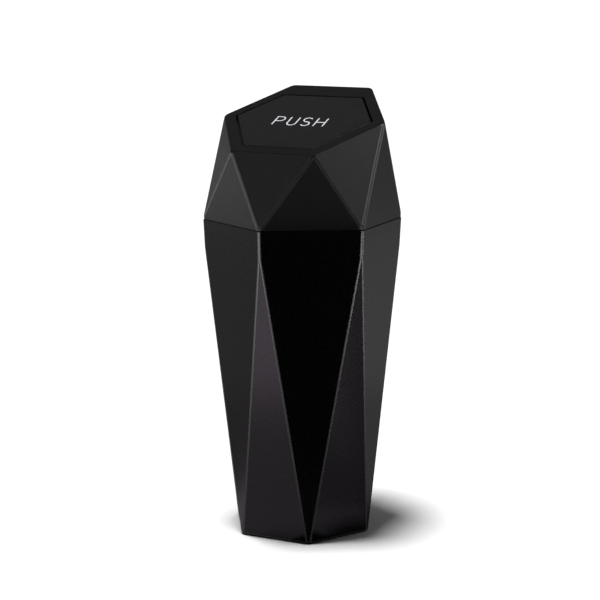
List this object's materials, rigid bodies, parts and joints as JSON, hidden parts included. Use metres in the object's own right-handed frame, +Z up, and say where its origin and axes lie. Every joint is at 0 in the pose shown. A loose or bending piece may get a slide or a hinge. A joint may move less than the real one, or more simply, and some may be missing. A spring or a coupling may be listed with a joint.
{
  "type": "car trash bin",
  "caption": "Small faceted litter bin for a car: tapering six-sided bucket, lift-off lid with a sloping top, and a sprung push flap over the mouth.",
  "frame": {"origin": "centre of the foot, on the surface that the bin stands on", "axes": "+Z up, +Y towards the high, hinged edge of the sloping top, +X along the hinge pin"},
  "size_m": [0.078, 0.0886, 0.1981],
  "materials": {
    "body_plastic": "fine spark-eroded texture",
    "lid_plastic": "smooth satin",
    "flap_plastic": "smooth satin",
    "flap_print": "matt printed ink",
    "pin_steel": "drawn wire",
    "spring_steel": "drawn wire"
  },
  "bodies": {
    "body": {"bin_body": "body_plastic"},
    "lid": {"lid_shell": "lid_plastic", "hinge_pin": "pin_steel", "return_spring": "spring_steel"},
    "flap": {"push_flap": "flap_plastic"}
  },
  "joints": [
    {"name": "lid_lift", "type": "slide", "parent": "body", "child": "lid", "axis": [0, 0, 1], "range_m": [0, 0.03]},
    {"name": "flap_swing", "type": "hinge", "parent": "lid", "child": "flap", "pos_m": [0, 0.02644, 0.18992], "axis": [1, 0, 0], "range_deg": [0, 45], "stiffness_Nm_per_rad": 0.01, "springref_deg": -51.57, "deforming": ["return_spring"]}
  ]
}
